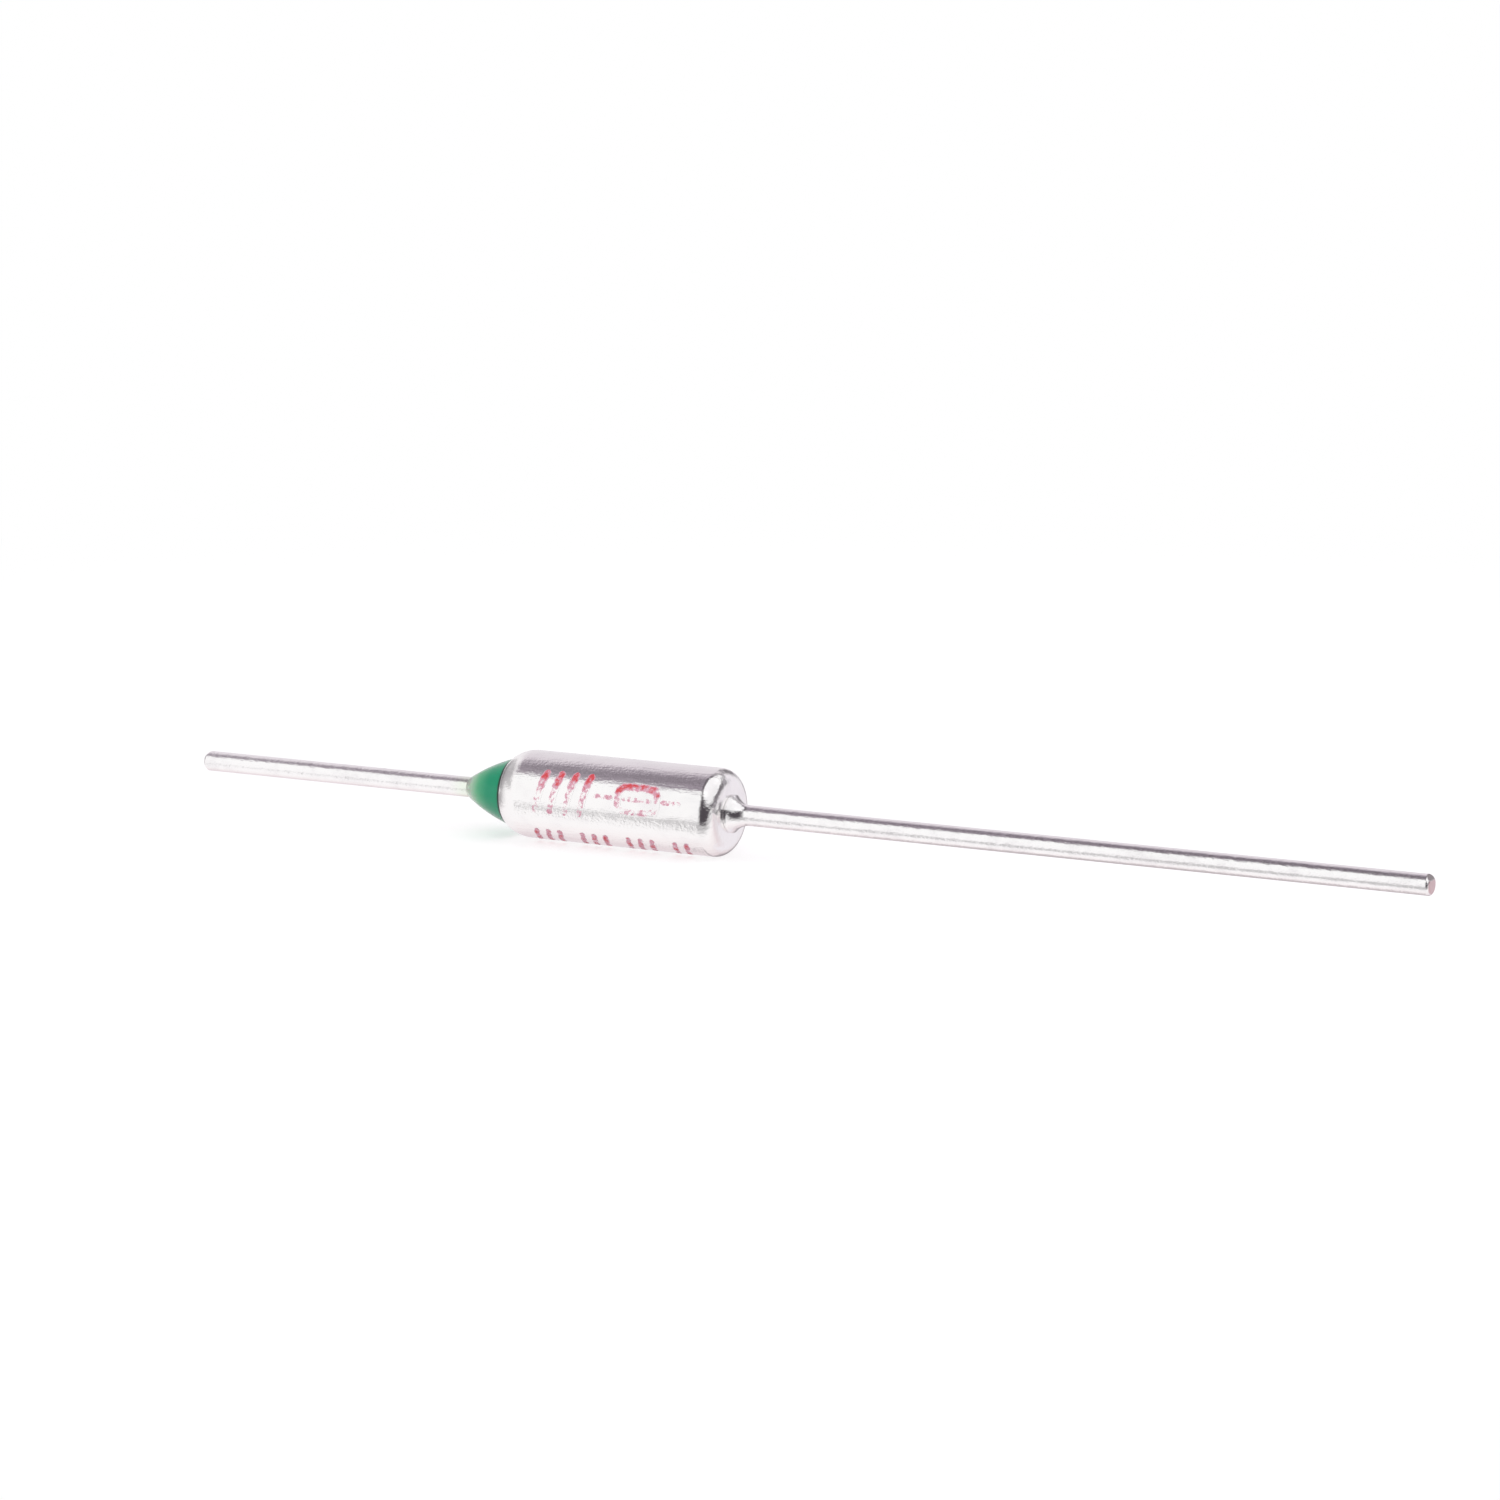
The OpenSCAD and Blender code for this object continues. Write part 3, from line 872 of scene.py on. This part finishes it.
def open_frame(centre, size, stroke, film, steps=64, power=5.0):
    """A stroke round a squared oval, where |x|^power + |y|^power is constant."""
    angle = np.linspace(0, TURN, steps, endpoint=False)
    lobe = np.column_stack([np.cos(angle), np.sin(angle)])
    scale = (np.abs(lobe) ** power).sum(axis=1) ** (-1 / power)
    half = (np.asarray(size, float) - stroke) / 2
    path = np.asarray(centre, float) + lobe * scale[:, None] * half
    return ribbon(path, np.full(steps, stroke / 2), STROKE_POINTS, film, closed=True)


def upper_marks(print_settings):
    """The upper row: slanted stripes, then a plain fuse sign, which is a frame with a line through it."""
    first_x, stripe_pitch, slant = -3.4 * MM, 0.80 * MM, 0.5 * MM
    sign_x, frame_width, line_reach = 1.85 * MM, 2.5 * MM, 2.35 * MM
    line_gap = 0.02 * MM
    frame_share = 0.64
    frame_size = (frame_width, frame_share * print_settings.height)
    stroke, film = print_settings.stroke, print_settings.film
    bold = 1.35 * stroke
    tall = (print_settings.height - stroke) / 2
    marks = []
    for i in range(print_settings.stripes):
        x = first_x + i * stripe_pitch
        marks.append(stadium((x - slant / 2, -tall), (x + slant / 2, tall), bold, film))
    marks.append(open_frame((sign_x, 0.0), frame_size, bold, film))
    outer = frame_width / 2 + line_gap
    inner = frame_width / 2 - bold - line_gap
    for start, end in ((-line_reach, -outer), (-inner, inner), (outer, line_reach)):
        marks.append(stadium((sign_x + start, 0.0), (sign_x + end, 0.0), stroke, film))
    return marks


def lower_marks(print_settings):
    """The lower row: small slanted ticks in groups of three."""
    first_x, pitch, slant = -3.9 * MM, 0.62 * MM, 0.30 * MM
    group = 3
    stroke, film = print_settings.stroke, print_settings.film
    tall = (print_settings.small_height - stroke) / 2
    marks = []
    for i in range(print_settings.ticks):
        x = first_x + (i + i // group) * pitch
        marks.append(stadium((x - slant / 2, -tall), (x + slant / 2, tall), stroke, film))
    return marks


class FUSE_OT_print(bpy.types.Operator):
    """Stamps two rows of plain red marks on the case"""

    bl_idname = "fuse.print"
    bl_label = "Print"

    def execute(self, context):
        settings = context.scene.fuse_print
        case = context.scene.fuse_case
        rows = (
            (settings.upper_angle, upper_marks(settings)),
            (settings.lower_angle, lower_marks(settings)),
        )
        points, press, faces, count = [], [], [], 0
        for middle, marks in rows:
            for strip, strip_faces in marks:
                angle = middle + strip[:, 1] / case.radius
                skin = case.radius + settings.lift + strip[:, 2]
                points.append(np.column_stack([strip[:, 0], -skin * np.cos(angle), skin * np.sin(angle)]))
                press.append(strip[:, 3])
                faces += [[corner + count for corner in face] for face in strip_faces]
                count += len(strip)
        material = ink_material(settings, case)
        piece = new_piece("ink_marks", np.vstack(points), faces, material)
        mark_points(piece, "press", np.concatenate(press))
        return {"FINISHED"}


class FUSE_OT_stack(bpy.types.Operator):
    """Winds the two springs and finishes the other pieces inside the case"""

    bl_idname = "fuse.stack"
    bl_label = "Spring stack"

    def execute(self, context):
        stack = context.scene.fuse_stack
        steel, *_ = drawn_metal("spring_wire", stack.steel, stack.dull_steel, **SPRING_GRAIN)
        springs = (
            ("trip_coil", "trip_spring", stack.trip_wire, stack.trip_turns, None),
            (
                "barrel_coil",
                "compression_spring",
                stack.compression_wire,
                stack.compression_turns,
                stack.barrel_end_radius,
            ),
        )
        for name, node, wire, turns, end_radius in springs:
            low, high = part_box(node)
            widest = high.z - wire / 2
            path = coil_path(low.x, high.x, wire, turns, end_radius or widest, widest, stack)
            vertices, faces = swept(path, wire / 2, SPRING_SIDES)
            new_piece(name, vertices, faces, steel, [node])
        silver, *_ = drawn_metal("contact_plate", stack.silver, stack.dull_silver, **CONTACT_GRAIN)
        brass, *_ = drawn_metal("disc_brass", stack.brass, stack.dull_brass, **DISC_GRAIN)
        ceramic = powder_material(
            "bushing_ceramic", stack.ceramic, stack.ceramic_speck, scale=9000.0, roughness=0.62
        )
        pellet = powder_material(
            "pellet_compound", stack.pellet, stack.pellet_speck, scale=6000.0, roughness=0.68
        )
        finishes = {
            "star_contact": silver,
            "contact_disc": brass,
            "pellet_disc": brass,
            "ceramic_bushing": ceramic,
            "thermal_pellet": pellet,
        }
        for node, material in finishes.items():
            mesh = frame["nodes"][node].data
            mesh.materials.clear()
            mesh.materials.append(material)
        return {"FINISHED"}


# Studio

# Direction from the fuse to the middle of the softbox
KEY_DIRECTION = Vector((0.50, -0.14, 0.85)).normalized()

# Colours of the walls, by degrees round the fuse's axis: 0 is the front and 90 is overhead
WALL_COLOURS = (
    (-180, (0.84, 0.81, 0.84)),
    (-128, (0.80, 0.70, 0.73)),
    (-85, (0.98, 0.93, 0.94)),
    (-60, (1.0, 0.98, 0.99)),
    (58, (1.0, 1.0, 1.0)),
    (63, (0.42, 0.37, 0.42)),
    (70, (0.30, 0.26, 0.30)),
    (77, (0.37, 0.32, 0.37)),
    (86, (0.22, 0.19, 0.22)),
    (94, (0.30, 0.26, 0.30)),
    (102, (0.23, 0.20, 0.23)),
    (111, (0.37, 0.32, 0.37)),
    (128, (0.74, 0.68, 0.73)),
    (180, (0.84, 0.81, 0.84)),
)

# A direction from the fuse: its shares to the right, to the front and up, then angles in degrees.
# around goes round the fuse's axis from the front over the top, turn goes round the vertical from the
# front to the right, and rise is the height. off_rear is measured from the middle of the rear wall's
# dark band, and past_gap from the right edge of the gap that the camera looks through.
Sky = namedtuple("Sky", "tree direction across front height around turn rise off_rear past_gap")

# Areas of the sky. Each is a product of smooth steps: the axis of the sky, where the step starts and
# ends on it, and its values there.
WALL_SLANT = (("across", -0.507, -0.474, 15, 3.5), ("around", 72, 96, 0, 1), ("around", 125, 180, 1, 0))
REAR_CORNER = (("front", -0.1, -0.4, 0, 1), ("across", 0.20, 0.30, 0, 1), ("across", 0.53, 0.63, 1, 0))
LEFT_CORNER = (("across", -0.72, -0.50, 0.75, 0),)
CAMERA_GAP = (
    ("turn", -20, 4, 0, 1),
    ("past_gap", 0, 9, 1, 0),
    ("rise", -27, -20, 0, 1),
    ("rise", 42, 54, 1, 0),
)
REAR_BAND = ("off_rear", 9, 24, 0.78, 0)
SHADES = {
    "far left": (
        ("across", -0.90, -0.80, 0.6, 0),
        ("front", -0.20, 0.50, 1, 0),
        ("height", -0.42, -0.22, 0, 1),
    ),
    "upper left": (
        ("across", -0.80, -0.69, 0.45, 0),
        ("height", 0.15, 0.28, 0, 1),
        ("height", 0.70, 0.83, 1, 0),
    ),
    "left of the floor": (
        ("around", -176, -160, 0, 0.38),
        ("around", -105, -89, 1, 0),
        ("across", -0.46, -0.44, 0, 1),
        ("across", -0.36, -0.34, 1, 0),
    ),
    "middle of the floor": (
        ("around", -186, -174, 0, 0.6),
        ("around", -140, -128, 1, 0),
        ("across", -0.39, -0.34, 0, 1),
        ("across", -0.05, 0.0, 1, 0),
    ),
    "left of the rear": (REAR_BAND, ("across", -0.80, -0.70, 1, 0)),
    "middle of the rear": (REAR_BAND, ("across", -0.32, -0.22, 0, 1), ("across", 0.10, 0.20, 1, 0)),
    "right of the rear": (REAR_BAND, ("across", 0.57, 0.65, 0, 1)),
}


def sky_of(tree):
    """The direction that a world's tree is asked for, by its parts and its angles."""
    rear_middle = 156
    gap_lean, gap_right = 1.3, 62
    direction = tree.nodes.new("ShaderNodeTexCoord").outputs["Generated"]
    across, depth, height = parts(tree, direction)
    front = math_node(tree, "MULTIPLY", depth, -1.0)
    around = math_node(tree, "DEGREES", math_node(tree, "ARCTAN2", height, front))
    turn = math_node(tree, "DEGREES", math_node(tree, "ARCTAN2", across, front))
    rise = math_node(tree, "DEGREES", math_node(tree, "ARCSINE", height))
    off_rear = math_node(tree, "ABSOLUTE", math_node(tree, "SUBTRACT", around, rear_middle))
    gap_edge = math_node(tree, "MULTIPLY_ADD", rise, gap_lean, gap_right)
    past_gap = math_node(tree, "SUBTRACT", turn, gap_edge)
    return Sky(tree, direction, across, front, height, around, turn, rise, off_rear, past_gap)


def area(sky, steps):
    """The product of an area's smooth steps."""
    masks = (ramp(sky.tree, getattr(sky, axis), *step) for axis, *step in steps)
    return chain(sky.tree, "MULTIPLY", *masks)


def walls(sky):
    """Colours of the walls: their bands slant at the left, and two corners are paler."""
    tree = sky.tree
    rear_pale, left_pale = (0.89, 0.85, 0.90), (0.99, 0.97, 0.98)
    full_turn = 360
    slanted = math_node(tree, "ADD", sky.around, area(sky, WALL_SLANT))
    share = math_node(tree, "MULTIPLY_ADD", slanted, 1 / full_turn, 0.5)
    bands = add(tree, "ShaderNodeValToRGB", {"Fac": share})
    stops = bands.color_ramp.elements
    while len(stops) < len(WALL_COLOURS):
        stops.new(0.5)
    for stop, (angle, level) in zip(stops, WALL_COLOURS):
        stop.position = angle / full_turn + 0.5
        stop.color = rgba(level)
    room = blend(tree, area(sky, REAR_CORNER), bands.outputs["Color"], rgba(rear_pale))
    return blend(tree, area(sky, LEFT_CORNER), room, rgba(left_pale))


def sill_shade(sky):
    """The shade under the front panel: lower, wider and darker where the long lead mirrors it."""
    tree = sky.tree
    case_side, lead_side = -0.462, -0.445
    left_end, left_full, most = -0.55, -0.505, 0.40
    core = 2
    by_side = functools.partial(ramp, tree, sky.across, case_side, lead_side)
    drop, width, gain = by_side(23, 31), by_side(9.5, 24), by_side(1, 1.25)
    off_middle = math_node(tree, "ABSOLUTE", math_node(tree, "ADD", sky.around, drop))
    band = ramp(tree, off_middle, core, width, 1, 0)
    return chain(tree, "MULTIPLY", band, ramp(tree, sky.across, left_end, left_full, 0, most), gain)


def housing_shade(sky, studio):
    """The softbox's dark housing, which reaches some degrees past the lamp."""
    inner, outer = studio.key_spread + radians(9), studio.key_spread + radians(14)
    darkness = 0.75
    inputs = {0: sky.direction, 1: KEY_DIRECTION}
    toward_key = add(sky.tree, "ShaderNodeVectorMath", inputs, operation="DOT_PRODUCT").outputs["Value"]
    return ramp(sky.tree, toward_key, math.cos(outer), math.cos(inner), 0, darkness)


def studio_world(studio):
    """A white studio seen from the fuse, by the angle round its axis from the front.

    The front is a white panel, the room above it is dark and pales towards the back. The softbox
    has a dark housing, and the camera looks in through a dark gap in the panel. The camera itself
    sees plain white.
    """
    dark, white = (0.08, 0.07, 0.08), (1.0, 1.0, 1.0)
    world = bpy.data.worlds.new("studio")
    bpy.context.scene.world = world
    tree = empty_tree(world)
    sky = sky_of(tree)
    shade = chain(tree, "MAXIMUM", sill_shade(sky), *(area(sky, steps) for steps in SHADES.values()))
    room = walls(sky)
    for share in (shade, housing_shade(sky, studio), area(sky, CAMERA_GAP)):
        room = blend(tree, share, room, rgba(dark))
    camera_ray = tree.nodes.new("ShaderNodeLightPath").outputs["Is Camera Ray"]
    seen = blend(tree, camera_ray, room, rgba(white))
    background = add(tree, "ShaderNodeBackground", {"Color": seen, "Strength": 1.0})
    add(tree, "ShaderNodeOutputWorld", {"Surface": background.outputs[0]})


def floor_material(studio):
    """A pale floor that keeps the fuse's shadow. What the camera sees is lifted to white by a glow."""
    fade_from, fade_end = 50 * MM, 110 * MM
    material = bpy.data.materials.new("pale_floor")
    tree = empty_tree(material)
    matte = add(tree, "ShaderNodeBsdfDiffuse", {"Color": rgba(studio.floor_colour)})
    path = tree.nodes.new("ShaderNodeLightPath").outputs
    seen = math_node(tree, "MAXIMUM", path["Is Camera Ray"], path["Is Transmission Ray"])
    lift = math_node(tree, "MULTIPLY", seen, studio.floor_glow)
    glow = add(tree, "ShaderNodeEmission", {"Strength": lift})
    lifted = add(tree, "ShaderNodeAddShader", {0: matte.outputs[0], 1: glow.outputs[0]})
    place = tree.nodes.new("ShaderNodeTexCoord").outputs["Object"]
    reach = add(tree, "ShaderNodeVectorMath", {0: place}, operation="LENGTH").outputs["Value"]
    far = math_node(tree, "MULTIPLY", seen, ramp(tree, reach, fade_from, fade_end))
    white = add(tree, "ShaderNodeEmission", {"Strength": 1.0})
    both = add(tree, "ShaderNodeMixShader", {0: far, 1: lifted.outputs[0], 2: white.outputs[0]})
    add(tree, "ShaderNodeOutputMaterial", {"Surface": both.outputs[0]})
    return material


def soft_lamp(name, place, size, radiance):
    """A round lamp that faces the fuse. Its power is its radiance times pi times its area."""
    light = bpy.data.lights.new(name, "AREA")
    light.shape = "DISK"
    light.size = size
    light.energy = radiance * math.pi * math.pi * size * size / 4
    lamp = bpy.data.objects.new(name, light)
    lamp.location = place
    lamp.rotation_mode = "QUATERNION"
    lamp.rotation_quaternion = (-place).to_track_quat("-Z", "Y")
    bpy.context.scene.collection.objects.link(lamp)
    return lamp


class FUSE_OT_stage(bpy.types.Operator):
    """Sets the floor, the light and the camera"""

    bl_idname = "fuse.stage"
    bl_label = "Stage"

    def execute(self, context):
        scene = context.scene
        studio = scene.fuse_studio
        floor_z = -scene.fuse_case.radius
        reach = 6.0
        corners = [(x * reach, y * reach, floor_z) for x, y in ((-1, -1), (1, -1), (1, 1), (-1, 1))]
        mesh = bpy.data.meshes.new("floor")
        mesh.from_pydata(corners, [], [(0, 1, 2, 3)])
        mesh.materials.append(floor_material(studio))
        floor = bpy.data.objects.new("floor", mesh)
        scene.collection.objects.link(floor)
        floor.visible_glossy = False

        studio_world(studio)

        key_distance = 0.45
        key_size = 2 * key_distance * math.tan(studio.key_spread)
        soft_lamp("softbox", KEY_DIRECTION * key_distance, key_size, studio.key_strength)
        fill_place, fill_size = Vector((0.10, -0.45, 0.12)), 0.40
        fill = soft_lamp("fill", fill_place, fill_size, studio.fill_strength)
        fill.visible_glossy = False

        flat = math.cos(studio.elevation)
        back = Vector((
            math.sin(studio.azimuth) * flat,
            -math.cos(studio.azimuth) * flat,
            math.sin(studio.elevation),
        ))
        lens = bpy.data.cameras.new("camera")
        lens.sensor_width = 36.0
        lens.lens = studio.focal
        lens.clip_start = 10 * MM
        lens.clip_end = 50.0
        camera = bpy.data.objects.new("camera", lens)
        camera.location = Vector(studio.aim) + back * studio.distance
        camera.rotation_mode = "QUATERNION"
        camera.rotation_quaternion = (-back).to_track_quat("-Z", "Y")
        scene.collection.objects.link(camera)
        scene.camera = camera
        scene.view_settings.view_transform = "Standard"
        return {"FINISHED"}


class FUSE_PT_panel(bpy.types.Panel):
    """Lists the fuse's operators in the sidebar"""

    bl_idname = "FUSE_PT_panel"
    bl_label = "Thermal fuse"
    bl_space_type = "VIEW_3D"
    bl_region_type = "UI"
    bl_category = "Fuse"

    def draw(self, context):
        for operator in OPERATORS:
            self.layout.operator(operator.bl_idname)


OPERATORS = (FUSE_OT_case, FUSE_OT_leads, FUSE_OT_resin, FUSE_OT_print, FUSE_OT_stack, FUSE_OT_stage)
SETTINGS = {
    "fuse_case": FuseCaseSettings,
    "fuse_leads": FuseLeadSettings,
    "fuse_resin": FuseResinSettings,
    "fuse_print": FusePrintSettings,
    "fuse_stack": FuseStackSettings,
    "fuse_studio": FuseStudioSettings,
}


def register():
    """Registers the settings, the operators and the panel."""
    for cls in (*SETTINGS.values(), *OPERATORS, FUSE_PT_panel):
        bpy.utils.register_class(cls)
    for name, cls in SETTINGS.items():
        setattr(bpy.types.Scene, name, PointerProperty(type=cls))


def unregister():
    """Takes them out again, in reverse."""
    for name in SETTINGS:
        delattr(bpy.types.Scene, name)
    for cls in (FUSE_PT_panel, *reversed(OPERATORS), *reversed(SETTINGS.values())):
        bpy.utils.unregister_class(cls)


def main():
    """Builds the whole fuse and its studio."""
    register()
    bpy.ops.fuse.case()
    bpy.ops.fuse.leads()
    bpy.ops.fuse.resin()
    bpy.ops.fuse.print()
    bpy.ops.fuse.stack()
    bpy.ops.fuse.stage()


if __name__ == "__main__":
    main()
